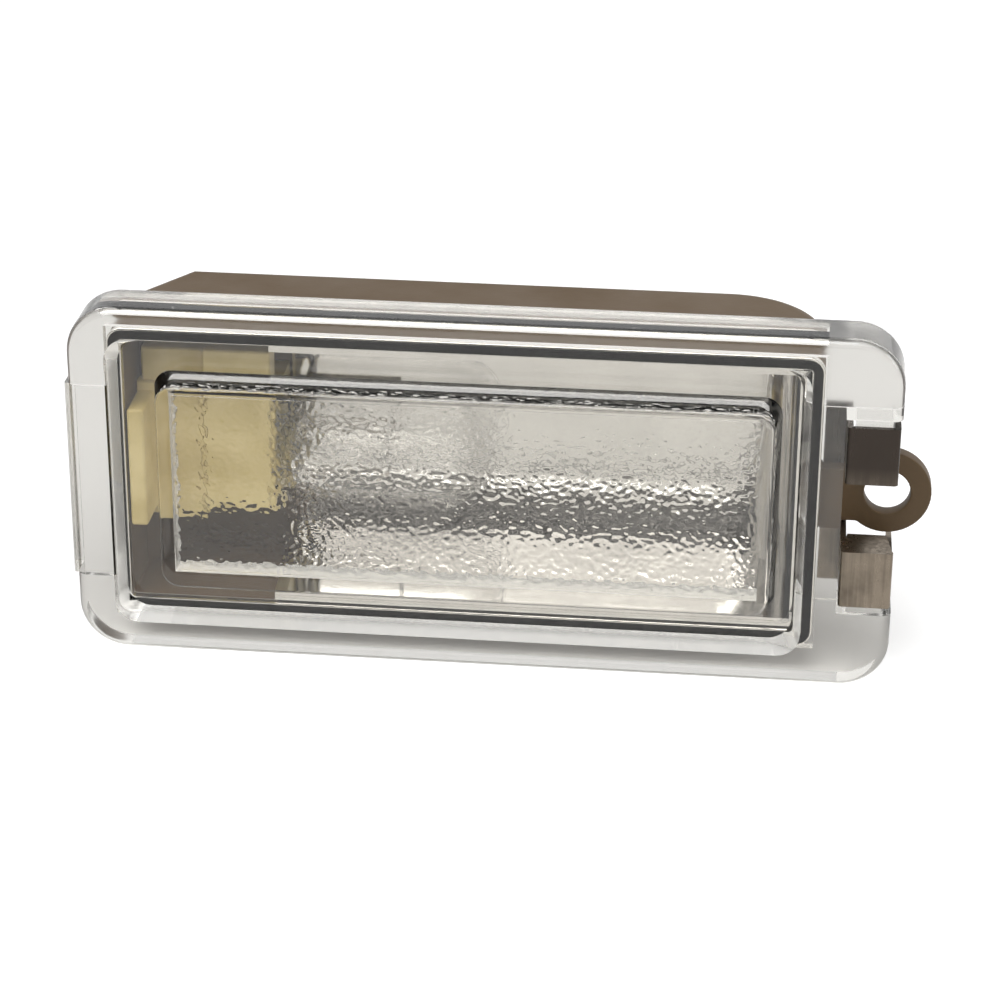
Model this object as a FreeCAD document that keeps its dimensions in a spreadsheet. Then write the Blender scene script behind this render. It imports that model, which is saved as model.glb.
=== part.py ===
"""Recessed car lamp with a clear framed lens, a brown tray housing, a wedge bulb and a steel spring clip.

Frame: X runs along the lamp, Z is up, the lens looks towards -Y. The origin is the middle of the flange's
seat, the plane where the lamp's frame meets the panel that it is fitted in. Sizes are millimetres.
"""
import FreeCAD
import Part
import Sketcher
import math
import os

SIZES = {
    # Frame of the lens
    "flange_length": 75.0,
    "flange_height": 34.0,
    "flange_depth": 5.0,
    "flange_corner_radius": 4.5,
    "flange_edge_radius": 0.9,
    "left_band": 3.5,
    "right_band": 8.1,
    "long_band": 2.85,
    # Trench around the window
    "trench_depth": 2.0,
    "trench_draft": 0.8,
    "trench_corner_radius": 2.4,
    "trench_floor": 2.0,
    # Raised window
    "window_left_gap": 4.1,
    "window_right_gap": 2.5,
    "window_long_gap": 3.6,
    "window_rise": 2.8,
    "window_draft": 0.6,
    "window_corner_radius": 1.8,
    "window_edge_radius": 0.4,
    "window_thickness": 2.2,
    "window_side_wall": 1.6,
    # Notch for the spring clip and hook at the other end
    "notch_depth": 5.0,
    "notch_height": 19.1,
    "seat_relief": 0.3,
    "hook_height": 19.0,
    "hook_recess": 0.5,
    "hook_proud": 0.35,
    "hook_edge_radius": 0.25,
    # Housing
    "long_reach": 0.1,
    "left_reach": 0.3,
    "right_reach": 1.1,
    "clearance": 0.15,
    "housing_depth": 14.9,
    "housing_wall": 1.2,
    "housing_corner_radius": 1.5,
    "chamfer_run": 4.7,
    "chamfer_drop": 7.4,
    "end_radius": 9.0,
    # Fixing ear
    "ear_inset": 0.8,
    "ear_drop": 1.0,
    "ear_radius": 4.0,
    "ear_hole_radius": 2.1,
    "ear_thickness": 1.6,
    "neck_height": 6.0,
    # Connector shroud
    "shroud_offset": 10.3,
    "shroud_length": 9.0,
    "shroud_height": 15.0,
    "shroud_depth": 8.5,
    "shroud_wall": 1.2,
    # Spring clip
    "strip_thickness": 0.5,
    "bend_radius": 0.4,
    "finger_gap": 6.7,
    "finger_height": 5.45,
    "spring_leg_gap": 9.2,
    "spring_leg_length": 8.0,
    "lip_depth": 4.0,
    "lip_cut": 0.6,
    "bridge_width": 2.4,
    "tongue_gap": 0.25,
    # Reflector
    "reflector_wall": 0.8,
    "reflector_drop": 0.4,
    "reflector_lean": 6.0,
    # Bulb holder and contacts
    "holder_length": 12.95,
    "holder_height": 11.7,
    "holder_lip": 0.7,
    "holder_edge_radius": 0.2,
    "collar_length": 6.15,
    "collar_height": 13.4,
    "block_step": 0.3,
    "socket_depth": 8.0,
    "socket_height": 10.3,
    "socket_width": 3.5,
    "contact_spacing": 7.2,
    "contact_width": 2.8,
    "contact_thickness": 0.5,
    "contact_reach": 6.4,
    "blade_thickness": 0.8,
    "blade_length": 6.9,
    # Wedge bulb
    "bulb_gap": 0.5,
    "bulb_radius": 5.0,
    "bulb_length": 26.8,
    "bulb_glass": 0.6,
    "bulb_neck": 1.5,
    "tip_taper": 0.7,
    "wedge_length": 7.0,
    "wedge_height": 9.5,
    "wedge_thickness": 2.2,
    "lead_radius": 0.25,
    "lead_stub": 0.8,
    "lead_spacing": 5.0,
    "lead_reach": 9.6,
    "filament_radius": 0.2,
}


def size(name):
    """Expression that reads one driving dimension."""
    return f"sizes.{name}"


def minus(expression):
    """Expression for the same distance on the other side of the origin."""
    return f"-({expression})"


# Places that several pieces share. Heights are measured from the seat towards the front.
FLANGE_END = f"{size('flange_length')} / 2"
FLANGE_TOP = f"{size('flange_height')} / 2"
RIM_LEFT = f"{size('left_band')} - {FLANGE_END}"
RIM_RIGHT = f"{FLANGE_END} - {size('right_band')}"
RIM_TOP = f"{FLANGE_TOP} - {size('long_band')}"
FLOOR_FRONT = f"{size('flange_depth')} - {size('trench_depth')}"
FLOOR_BACK = f"{FLOOR_FRONT} - {size('trench_floor')}"
WINDOW_LEFT = f"{RIM_LEFT} + {size('window_left_gap')}"
WINDOW_RIGHT = f"{RIM_RIGHT} - {size('window_right_gap')}"
WINDOW_TOP = f"{RIM_TOP} - {size('window_long_gap')}"
HOUSING_LEFT = f"{RIM_LEFT} - {size('left_reach')}"
HOUSING_RIGHT = f"{RIM_RIGHT} + {size('right_reach')}"
HOUSING_TOP = f"{RIM_TOP} + {size('long_reach')}"
HOUSING_BACK = f"{FLOOR_BACK} - {size('housing_depth')}"
HOUSING_FLOOR = f"{HOUSING_BACK} + {size('housing_wall')}"
NOTCH_LEFT = f"{FLANGE_END} - {size('notch_depth')}"
NOTCH_TOP = f"{size('notch_height')} / 2"
EAR_CENTRE = f"{FLANGE_END} - {size('ear_inset')}"
EAR_BACK = f"-{size('ear_drop')} - {size('ear_thickness')}"
FINGER_LEFT = f"{NOTCH_LEFT} + {size('clearance')}"
FINGER_RIGHT = f"{FLANGE_END} - {size('clearance')}"
FINGER_LOW = f"{size('finger_gap')} / 2"
FINGER_HIGH = f"{FINGER_LOW} + {size('finger_height')}"
SPRING_LEG_LOW = f"{size('spring_leg_gap')} / 2"
WEB_BACK = f"{size('flange_depth')} - {size('strip_thickness')}"
BRIDGE_BACK = f"{EAR_BACK} - {size('strip_thickness')}"
BULB_AXIS = f"(-({HOUSING_FLOOR}) - {size('reflector_wall')} - {size('bulb_gap')} - {size('bulb_radius')})"
HOLDER_LEFT = f"{HOUSING_LEFT} + {size('housing_wall')} + {size('clearance')}"
HOLDER_RIGHT = f"{HOLDER_LEFT} + {size('holder_length')}"
HOLDER_FRONT = f"{size('socket_width')} / 2 + {size('holder_lip')} - {BULB_AXIS}"
BLADE_CENTRE = f"{HOUSING_LEFT} + {size('shroud_offset')}"
CONTACT_LEFT = f"{HOLDER_RIGHT} - {size('socket_depth')} + {size('clearance')}"
CONTACT_BASE = f"{CONTACT_LEFT} + {size('contact_thickness')}"
CONTACT_LOW = f"({size('contact_spacing')} - {size('contact_width')}) / 2"
CONTACT_HIGH = f"({size('contact_spacing')} + {size('contact_width')}) / 2"
JAW_INNER = f"{size('wedge_thickness')} / 2"
JAW_OUTER = f"{JAW_INNER} + {size('contact_thickness')}"
WEDGE_LEFT = f"{CONTACT_BASE} + {size('lead_stub')}"
BULB_LEFT = f"{WEDGE_LEFT} + {size('wedge_length')}"
DOME_CENTRE = f"{WEDGE_LEFT} + {size('bulb_length')} - {size('bulb_radius')}"
LEAD_END = f"{BULB_LEFT} + {size('lead_reach')}"

document = FreeCAD.newDocument("lamp")
sheet = document.addObject("Spreadsheet::Sheet", "sizes")
for row, (alias, value) in enumerate(SIZES.items(), start=1):
    sheet.set(f"A{row}", alias)
    sheet.set(f"B{row}", str(value))
    sheet.setAlias(f"B{row}", alias)
document.recompute()


def new_body(label):
    """Empty body for one moulded or stamped piece."""
    body = document.addObject("PartDesign::Body", label)
    body.Label = label
    return body


def origin_plane(body, role):
    """One of the body's own reference planes."""
    for feature in body.Origin.OriginFeatures:
        if feature.Role == role:
            return feature
    raise ValueError(f"{body.Label} has no {role}")


def new_sketch(body, name, role, offset):
    """Sketch on a reference plane, moved along the plane's normal by an expression."""
    sketch = body.newObject("Sketcher::SketchObject", name)
    sketch.AttachmentSupport = [(origin_plane(body, role), "")]
    sketch.MapMode = "FlatFace"
    sketch.setExpression("AttachmentOffset.Base.z", offset)
    return sketch


def bind(sketch, kind, *references, expression):
    """Dimension in a sketch that follows an expression."""
    index = sketch.addConstraint(Sketcher.Constraint(kind, *references, 1.0))
    sketch.setExpression(f"Constraints[{index}]", expression)


def add_loop(sketch, corners):
    """Closed outline of straight lines. Each corner is a pair of expressions."""
    first = sketch.GeometryCount
    count = len(corners)
    start = [(math.cos(2 * math.pi * n / count), math.sin(2 * math.pi * n / count)) for n in range(count)]
    for n in range(count):
        here = FreeCAD.Vector(*start[n], 0)
        there = FreeCAD.Vector(*start[(n + 1) % count], 0)
        sketch.addGeometry(Part.LineSegment(here, there))
    for n, (across, up) in enumerate(corners):
        following = first + (n + 1) % count
        sketch.addConstraint(Sketcher.Constraint("Coincident", first + n, 2, following, 1))
        bind(sketch, "DistanceX", -1, 1, first + n, 1, expression=across)
        bind(sketch, "DistanceY", -1, 1, first + n, 1, expression=up)


def rectangle(left, right, low, high):
    """Corners of an upright rectangle."""
    return [(left, low), (right, low), (right, high), (left, high)]


def polygon_sketch(body, name, role, offset, *loops):
    """Sketch that holds one or more closed outlines."""
    sketch = new_sketch(body, name, role, offset)
    for corners in loops:
        add_loop(sketch, corners)
    return sketch


def circle_sketch(body, name, role, offset, across, radius):
    """Sketch of a circle whose centre lies on the horizontal axis."""
    sketch = new_sketch(body, name, role, offset)
    sketch.addGeometry(Part.Circle(FreeCAD.Vector(1, 0, 0), FreeCAD.Vector(0, 0, 1), 1))
    sketch.addConstraint(Sketcher.Constraint("PointOnObject", 0, 3, -1))
    bind(sketch, "DistanceX", -1, 1, 0, 3, expression=across)
    bind(sketch, "Radius", 0, expression=radius)
    return sketch


def pad(body, name, sketch, length, taper=None):
    """Material raised from a sketch along its normal."""
    feature = body.newObject("PartDesign::Pad", name)
    feature.Profile = sketch
    feature.setExpression("Length", length)
    if taper:
        feature.setExpression("TaperAngle", taper)
    document.recompute()
    return feature


def pocket(body, name, sketch, length, forward=False, taper=None):
    """Material cut from a sketch, against its normal unless forward is set."""
    before = body.Shape.Volume
    feature = body.newObject("PartDesign::Pocket", name)
    feature.Profile = sketch
    feature.Reversed = forward
    feature.setExpression("Length", length)
    if taper:
        feature.setExpression("TaperAngle", taper)
    document.recompute()
    if body.Shape.Volume >= before:
        raise ValueError(f"{name} cuts nothing")
    return feature


def mirror_across_middle(body, name, *features):
    """Copy of some features on the other side of the level plane through the middle."""
    mirrored = body.newObject("PartDesign::Mirrored", name)
    mirrored.Originals = features
    mirrored.MirrorPlane = (origin_plane(body, "XY_Plane"), [""])
    body.Tip = mirrored
    document.recompute()
    return mirrored


def round_edges(body, name, radius, wanted):
    """Rounding on every edge of the body that the test picks out."""
    base = body.Tip
    names = [f"Edge{n}" for n, edge in enumerate(base.Shape.Edges, start=1) if wanted(edge)]
    feature = body.newObject("PartDesign::Fillet", name)
    feature.Base = (base, names)
    feature.setExpression("Radius", radius)
    document.recompute()
    return feature


def lean_faces(body, name, angle, still, leaning):
    """Faces leaned inwards by an angle, about the one face that stays still."""
    base = body.Tip
    faces = list(enumerate(base.Shape.Faces, start=1))
    before = body.Shape.Volume
    feature = body.newObject("PartDesign::Draft", name)
    feature.Base = (base, [f"Face{n}" for n, face in faces if leaning(face)])
    feature.NeutralPlane = (base, [f"Face{n}" for n, face in faces if still(face)])
    feature.setExpression("Angle", angle)
    document.recompute()
    if body.Shape.Volume >= before:
        raise ValueError(f"{name} leans outwards")
    return feature


def hollow(body, name, wall, open_side):
    """Even wall left inside the body, open on the faces that the test picks out."""
    base = body.Tip
    names = [f"Face{n}" for n, face in enumerate(base.Shape.Faces, start=1) if open_side(face)]
    feature = body.newObject("PartDesign::Thickness", name)
    feature.Base = (base, names)
    feature.setExpression("Value", wall)
    feature.Reversed = True
    document.recompute()
    return feature


NEAR = 1e-4


def runs_along(edge, axis):
    """Whether a straight edge is parallel to an axis, given as 0, 1 or 2."""
    if not isinstance(edge.Curve, Part.Line):
        return False
    return abs(abs(edge.Curve.Direction[axis]) - 1) < NEAR


def extent(shape):
    """Exact box round a shape."""
    return shape.optimalBoundingBox(False, False)


def lies_at(shape, axis, level):
    """Whether an edge or face lies flat in the plane at a level along an axis."""
    points = [vertex.Point for vertex in shape.Vertexes] + [shape.CenterOfMass]
    return all(abs(point[axis] - level) < NEAR for point in points)


def leans_back(edge, front):
    """Whether a corner edge runs from the plane at the front towards the back."""
    if len(edge.Vertexes) < 2:
        return False
    depths = [vertex.Point.y for vertex in edge.Vertexes]
    return max(depths) - min(depths) > edge.Length / 2 and abs(min(depths) - front) < NEAR


def reaches_back(edge, level):
    """Whether an edge ends at a depth."""
    return abs(max(vertex.Point.y for vertex in edge.Vertexes) - level) < NEAR


def make_lens():
    """Clear moulding: frame, drafted trench, raised hollow window, clip notch with tongues, end hook."""
    body = new_body("lens")
    frame = rectangle(minus(FLANGE_END), FLANGE_END, minus(FLANGE_TOP), FLANGE_TOP)
    pad(body, "frame", polygon_sketch(body, "frame_outline", "XZ_Plane", "0", frame), size("flange_depth"))
    round_edges(body, "frame_corners", size("flange_corner_radius"), lambda edge: runs_along(edge, 1))
    front = extent(body.Shape).YMin
    round_edges(body, "frame_edge", size("flange_edge_radius"), lambda edge: lies_at(edge, 1, front))

    rim = rectangle(RIM_LEFT, RIM_RIGHT, minus(RIM_TOP), RIM_TOP)
    rim_sketch = polygon_sketch(body, "trench_rim", "XZ_Plane", size("flange_depth"), rim)
    lean = f"-atan({size('trench_draft')} / {size('trench_depth')})"
    pocket(body, "trench", rim_sketch, size("trench_depth"), taper=lean)
    round_edges(body, "trench_corners", size("trench_corner_radius"), lambda edge: leans_back(edge, front))

    block = rectangle(WINDOW_LEFT, WINDOW_RIGHT, minus(WINDOW_TOP), WINDOW_TOP)
    block_sketch = polygon_sketch(body, "window_outline", "XZ_Plane", FLOOR_FRONT, block)
    lean = f"-atan({size('window_draft')} / {size('window_rise')})"
    pad(body, "window", block_sketch, size("window_rise"), taper=lean)
    front = extent(body.Shape).YMin
    round_edges(body, "window_corners", size("window_corner_radius"), lambda edge: leans_back(edge, front))
    round_edges(body, "window_edge", size("window_edge_radius"), lambda edge: lies_at(edge, 1, front))

    skirt = rectangle(f"{HOUSING_LEFT} - {size('clearance')}", f"{HOUSING_RIGHT} + {size('clearance')}",
                      minus(f"{HOUSING_TOP} + {size('clearance')}"), f"{HOUSING_TOP} + {size('clearance')}")
    skirt_sketch = polygon_sketch(body, "skirt_outline", "XZ_Plane", "0", skirt)
    pocket(body, "skirt_recess", skirt_sketch, FLOOR_BACK, forward=True)
    inner = f"{WINDOW_TOP} - {size('window_side_wall')}"
    hollow_outline = rectangle(f"{WINDOW_LEFT} + {size('window_side_wall')}",
                               f"{WINDOW_RIGHT} - {size('window_side_wall')}", minus(inner), inner)
    hollow_sketch = polygon_sketch(body, "window_hollow_outline", "XZ_Plane", "0", hollow_outline)
    hollow_reach = f"{FLOOR_FRONT} + {size('window_rise')} - {size('window_thickness')}"
    pocket(body, "window_hollow", hollow_sketch, hollow_reach, forward=True)

    notch_end = f"{FLANGE_END} + {size('notch_depth')}"
    notch = rectangle(NOTCH_LEFT, notch_end, minus(NOTCH_TOP), NOTCH_TOP)
    notch_sketch = polygon_sketch(body, "notch_outline", "XZ_Plane", size("flange_depth"), notch)
    pocket(body, "notch", notch_sketch, size("flange_depth"))
    side = f"{size('strip_thickness')} + {size('tongue_gap')}"
    tongue = rectangle(f"{FINGER_LEFT} + {side}", f"{FINGER_RIGHT} - ({side})", f"{FINGER_LOW} + {side}",
                       f"{NOTCH_TOP} + {size('tongue_gap')}")
    tongue_sketch = polygon_sketch(body, "tongue_outline", "XZ_Plane", size("seat_relief"), tongue)
    tongue_pad = pad(body, "tongue", tongue_sketch, f"{WEB_BACK} - {size('seat_relief')}")
    mirror_across_middle(body, "tongues", tongue_pad)
    relief = rectangle(f"{HOUSING_RIGHT}", NOTCH_LEFT, minus(NOTCH_TOP), NOTCH_TOP)
    relief_sketch = polygon_sketch(body, "ear_relief_outline", "XZ_Plane", "0", relief)
    pocket(body, "ear_relief", relief_sketch, size("seat_relief"), forward=True)

    hook_left = f"-({FLANGE_END}) - {size('hook_proud')}"
    hook_top = f"{size('hook_height')} / 2"
    hook_front = f"{size('flange_depth')} - {size('hook_recess')}"
    shelf = rectangle(hook_left, RIM_LEFT, minus(hook_top), hook_top)
    shelf_sketch = polygon_sketch(body, "hook_shelf_outline", "XZ_Plane", size("flange_depth"), shelf)
    pocket(body, "hook_shelf", shelf_sketch, size("hook_recess"))
    hook_root = f"{RIM_LEFT} - {size('left_band')} / 2"
    hook = rectangle(hook_left, hook_root, minus(hook_top), hook_top)
    hook_sketch = polygon_sketch(body, "hook_outline", "XZ_Plane", size("seat_relief"), hook)
    pad(body, "hook", hook_sketch, f"{hook_front} - {size('seat_relief')}")
    outer = extent(body.Shape).XMin
    round_edges(body, "hook_edge", size("hook_edge_radius"),
                lambda edge: lies_at(edge, 0, outer) and runs_along(edge, 2))
    return body


def side_profile(left, right, front, back):
    """Outline seen from above, with the slope at the left of the back."""
    slope_back = f"{left} + {size('chamfer_run')}"
    slope_front = f"{back} + {size('chamfer_drop')}"
    return [(left, minus(front)), (right, minus(front)), (right, minus(back)), (slope_back, minus(back)),
            (left, minus(slope_front))]


def long_edges(body):
    """Test for the edges round both long sides of a tray, apart from its open front."""
    box = extent(body.Shape)
    low, high, front = box.ZMin, box.ZMax, box.YMin

    def wanted(edge):
        on_side = lies_at(edge, 2, low) or lies_at(edge, 2, high)
        return on_side and not lies_at(edge, 1, front)

    return wanted


def right_back_edge(body):
    """Test for the upright edge where the back meets the right end."""
    box = extent(body.Shape)
    return lambda edge: lies_at(edge, 0, box.XMax) and lies_at(edge, 1, box.YMax)


def make_housing():
    """Tray with a sloped and a rounded end, a fixing ear and a connector shroud on its back."""
    body = new_body("housing")
    profile = side_profile(HOUSING_LEFT, HOUSING_RIGHT, FLOOR_BACK, HOUSING_BACK)
    outline = polygon_sketch(body, "tray_profile", "XY_Plane", minus(HOUSING_TOP), profile)
    pad(body, "tray", outline, f"2 * ({HOUSING_TOP})")
    round_edges(body, "round_end", size("end_radius"), right_back_edge(body))
    round_edges(body, "tray_edges", size("housing_corner_radius"), long_edges(body))
    front = extent(body.Shape).YMin
    hollow(body, "tray_wall", size("housing_wall"), lambda face: lies_at(face, 1, front))

    neck_top = f"{size('neck_height')} / 2"
    neck_root = f"{HOUSING_RIGHT} - {size('housing_wall')} / 2"
    neck = rectangle(neck_root, EAR_CENTRE, minus(neck_top), neck_top)
    neck_sketch = polygon_sketch(body, "neck_outline", "XZ_Plane", EAR_BACK, neck)
    pad(body, "neck", neck_sketch, size("ear_thickness"))
    ring = circle_sketch(body, "ear_outline", "XZ_Plane", EAR_BACK, EAR_CENTRE, size("ear_radius"))
    pad(body, "ear", ring, size("ear_thickness"))
    ear_front = minus(size("ear_drop"))
    hole = circle_sketch(body, "ear_hole_outline", "XZ_Plane", ear_front, EAR_CENTRE, size("ear_hole_radius"))
    pocket(body, "ear_hole", hole, size("ear_thickness"))

    shroud_left = f"{BLADE_CENTRE} - {size('shroud_length')} / 2"
    shroud_right = f"{BLADE_CENTRE} + {size('shroud_length')} / 2"
    shroud_top = f"{size('shroud_height')} / 2"
    shroud_back = f"{HOUSING_BACK} - {size('shroud_depth')}"
    shroud = rectangle(shroud_left, shroud_right, minus(shroud_top), shroud_top)
    shroud_sketch = polygon_sketch(body, "shroud_outline", "XZ_Plane", shroud_back, shroud)
    shroud_reach = f"{size('shroud_depth')} + {size('housing_wall')} / 2"
    pad(body, "shroud", shroud_sketch, shroud_reach)
    box = extent(body.Shape)
    round_edges(body, "shroud_corners", size("shroud_wall"),
                lambda edge: runs_along(edge, 1) and reaches_back(edge, box.YMax))
    wall = size("shroud_wall")
    cavity_top = f"{shroud_top} - {wall}"
    cavity = rectangle(f"{shroud_left} + {wall}", f"{shroud_right} - {wall}", minus(cavity_top), cavity_top)
    cavity_sketch = polygon_sketch(body, "cavity_outline", "XZ_Plane", shroud_back, cavity)
    pocket(body, "cavity", cavity_sketch, size("shroud_depth"), forward=True)
    slits = polygon_sketch(body, "blade_slit_outline", "XZ_Plane", HOUSING_FLOOR, *blade_slits())
    pocket(body, "blade_slits", slits, size("housing_wall"))
    return body


def blade_slits():
    """Outlines of the two slits that the contact blades pass through."""
    half = f"{size('blade_thickness')} / 2 + {size('clearance')}"
    left = f"{BLADE_CENTRE} - ({half})"
    right = f"{BLADE_CENTRE} + {half}"
    low = f"{CONTACT_LOW} - {size('clearance')}"
    high = f"{CONTACT_HIGH} + {size('clearance')}"
    return [rectangle(left, right, low, high), rectangle(left, right, minus(high), minus(low))]


def make_reflector():
    """Bright trough behind the window, wider towards the front, open there and towards the bulb holder."""
    body = new_body("reflector")
    inset = f"{size('housing_wall')} + {size('clearance')}"
    left = f"{HOLDER_RIGHT} + {size('reflector_drop')}"
    front = f"{FLOOR_BACK} - {size('reflector_drop')}"
    profile = rectangle(left, f"{HOUSING_RIGHT} - ({inset})", minus(front), minus(HOUSING_FLOOR))
    top = f"{HOUSING_TOP} - ({inset})"
    outline = polygon_sketch(body, "trough_profile", "XY_Plane", minus(top), profile)
    pad(body, "trough", outline, f"2 * ({top})")
    box = extent(body.Shape)
    lean_faces(body, "trough_lean", size("reflector_lean"), lambda face: lies_at(face, 1, box.YMin),
               lambda face: lies_at(face, 2, box.ZMin) or lies_at(face, 2, box.ZMax))
    round_edges(body, "trough_end", f"{size('end_radius')} - {size('housing_wall')} + {size('clearance')}",
                right_back_edge(body))
    hollow(body, "trough_wall", size("reflector_wall"),
           lambda face: lies_at(face, 1, box.YMin) or lies_at(face, 0, box.XMin))
    return body


def make_bulb_holder():
    """Moulded block with a sloped collar, a socket for the bulb's wedge and slits for the blades."""
    body = new_body("bulb_holder")
    collar_right = f"{HOLDER_LEFT} + {size('collar_length')}"
    collar_low = f"-{size('collar_height')} / 2"
    collar = side_profile(HOLDER_LEFT, collar_right, HOLDER_FRONT, HOUSING_FLOOR)
    pad(body, "collar", polygon_sketch(body, "collar_profile", "XY_Plane", collar_low, collar),
        size("collar_height"))
    block_top = f"{size('holder_height')} / 2"
    block = rectangle(collar_right, HOLDER_RIGHT, minus(block_top), block_top)
    reach = f"{HOLDER_FRONT} - ({HOUSING_FLOOR}) - {size('block_step')}"
    pad(body, "block", polygon_sketch(body, "block_outline", "XZ_Plane", HOUSING_FLOOR, block), reach)
    front = extent(body.Shape).YMin
    round_edges(body, "holder_edge", size("holder_edge_radius"), lambda edge: lies_at(edge, 1, front))
    axis = BULB_AXIS
    half = f"{size('socket_width')} / 2"
    socket_top = f"{size('socket_height')} / 2"
    socket = rectangle(f"{axis} - {half}", f"{axis} + {half}", minus(socket_top), socket_top)
    socket_sketch = polygon_sketch(body, "socket_outline", "YZ_Plane", HOLDER_RIGHT, socket)
    pocket(body, "socket", socket_sketch, size("socket_depth"))
    slits = polygon_sketch(body, "holder_slit_outline", "XZ_Plane", HOUSING_FLOOR, *blade_slits())
    pocket(body, "holder_slits", slits, f"-({HOUSING_FLOOR}) - {axis}", forward=True)
    return body


def make_contact(label, low):
    """Stamped contact: a jaw that grips the bulb's wedge and a blade that leaves through the back."""
    body = new_body(label)
    axis = BULB_AXIS
    tip = f"{CONTACT_LEFT} + {size('contact_reach')}"
    blade_left = f"{BLADE_CENTRE} - {size('blade_thickness')} / 2"
    blade_right = f"{BLADE_CENTRE} + {size('blade_thickness')} / 2"
    blade_end = f"{size('blade_length')} - ({HOUSING_BACK})"
    front_outer = f"{axis} - ({JAW_OUTER})"
    front_inner = f"{axis} - ({JAW_INNER})"
    back_inner = f"{axis} + {JAW_INNER}"
    back_outer = f"{axis} + {JAW_OUTER}"
    corners = [
        (tip, front_outer), (CONTACT_LEFT, front_outer), (CONTACT_LEFT, back_outer), (blade_left, back_outer),
        (blade_left, blade_end), (blade_right, blade_end), (blade_right, back_outer), (tip, back_outer),
        (tip, back_inner), (CONTACT_BASE, back_inner), (CONTACT_BASE, front_inner), (tip, front_inner),
    ]
    outline = polygon_sketch(body, f"{label}_profile", "XY_Plane", low, corners)
    pad(body, f"{label}_strip", outline, size("contact_width"))
    return body


def place(feature, along, depth, up):
    """Position of a primitive, each coordinate an expression."""
    for axis, expression in zip("xyz", (along, depth, up)):
        feature.setExpression(f"Placement.Base.{axis}", expression)


def rod(name, radius, length, along, up, direction):
    """Round bar on the bulb's axis plane, along a direction, from a start point."""
    feature = document.addObject("Part::Cylinder", name)
    feature.setExpression("Radius", radius)
    feature.setExpression("Height", length)
    feature.Placement.Rotation = FreeCAD.Rotation(FreeCAD.Vector(0, 0, 1), direction)
    place(feature, along, BULB_AXIS, up)
    return feature


def ball(name, radius, along):
    """Sphere on the bulb's axis."""
    feature = document.addObject("Part::Sphere", name)
    feature.setExpression("Radius", radius)
    place(feature, along, BULB_AXIS, "0")
    return feature


def taper(name, radius, along):
    """Cone on the bulb's axis, whose height is the radius of its smaller end."""
    feature = document.addObject("Part::Cone", name)
    small = f"({radius}) * {size('tip_taper')}"
    feature.setExpression("Radius1", radius)
    feature.setExpression("Radius2", small)
    feature.setExpression("Height", small)
    feature.Placement.Rotation = FreeCAD.Rotation(FreeCAD.Vector(0, 0, 1), FreeCAD.Vector(1, 0, 0))
    place(feature, along, BULB_AXIS, "0")
    return feature


def combine(kind, name, base, tool):
    """Boolean of two shapes."""
    feature = document.addObject(kind, name)
    feature.Base = base
    feature.Tool = tool
    return feature


def make_bulb():
    """Glass envelope with a pinched wedge base, its two lead wires and the filament between them."""
    along_x = FreeCAD.Vector(1, 0, 0)
    along_z = FreeCAD.Vector(0, 0, 1)
    lead_up = f"{size('lead_spacing')} / 2"
    leads = []
    for name, up in (("lead_upper", lead_up), ("lead_lower", minus(lead_up))):
        reach = f"{LEAD_END} - ({CONTACT_BASE})"
        leads.append(rod(name, size("lead_radius"), reach, CONTACT_BASE, up, along_x))
    lead_wires = document.addObject("Part::Compound", "bulb_lead_wires")
    lead_wires.Links = leads

    filament_low = f"{size('lead_radius')} - {lead_up}"
    filament_length = f"{size('lead_spacing')} - 2 * {size('lead_radius')}"
    filament_place = f"{LEAD_END} - {size('lead_radius')}"
    filament = rod("bulb_filament", size("filament_radius"), filament_length, filament_place,
                   filament_low, along_z)

    outer_length = f"{DOME_CENTRE} - ({BULB_LEFT})"
    glass_tube = rod("glass_tube", size("bulb_radius"), outer_length, BULB_LEFT, "0", along_x)
    glass_dome = ball("glass_dome", size("bulb_radius"), DOME_CENTRE)
    outer = combine("Part::Fuse", "glass_outer", glass_tube, glass_dome)
    inner_radius = f"{size('bulb_radius')} - {size('bulb_glass')}"
    inner_length = f"{outer_length} - {size('bulb_neck')}"
    inner_start = f"{BULB_LEFT} + {size('bulb_neck')}"
    inner_tube = rod("space_tube", inner_radius, inner_length, inner_start, "0", along_x)
    inner = combine("Part::Fuse", "glass_space", inner_tube, taper("space_tip", inner_radius, DOME_CENTRE))
    wedge = document.addObject("Part::Box", "glass_wedge")
    wedge.setExpression("Length", f"{size('wedge_length')} + {size('bulb_neck')} / 2")
    wedge.setExpression("Width", size("wedge_thickness"))
    wedge.setExpression("Height", size("wedge_height"))
    place(wedge, WEDGE_LEFT, f"{BULB_AXIS} - {JAW_INNER}", f"-{size('wedge_height')} / 2")
    solid = combine("Part::Fuse", "glass_solid", outer, wedge)
    shell = combine("Part::Cut", "glass_shell", solid, inner)
    envelope = combine("Part::Cut", "bulb_envelope", shell, lead_wires)
    document.recompute()
    return [envelope, lead_wires, filament]


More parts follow.
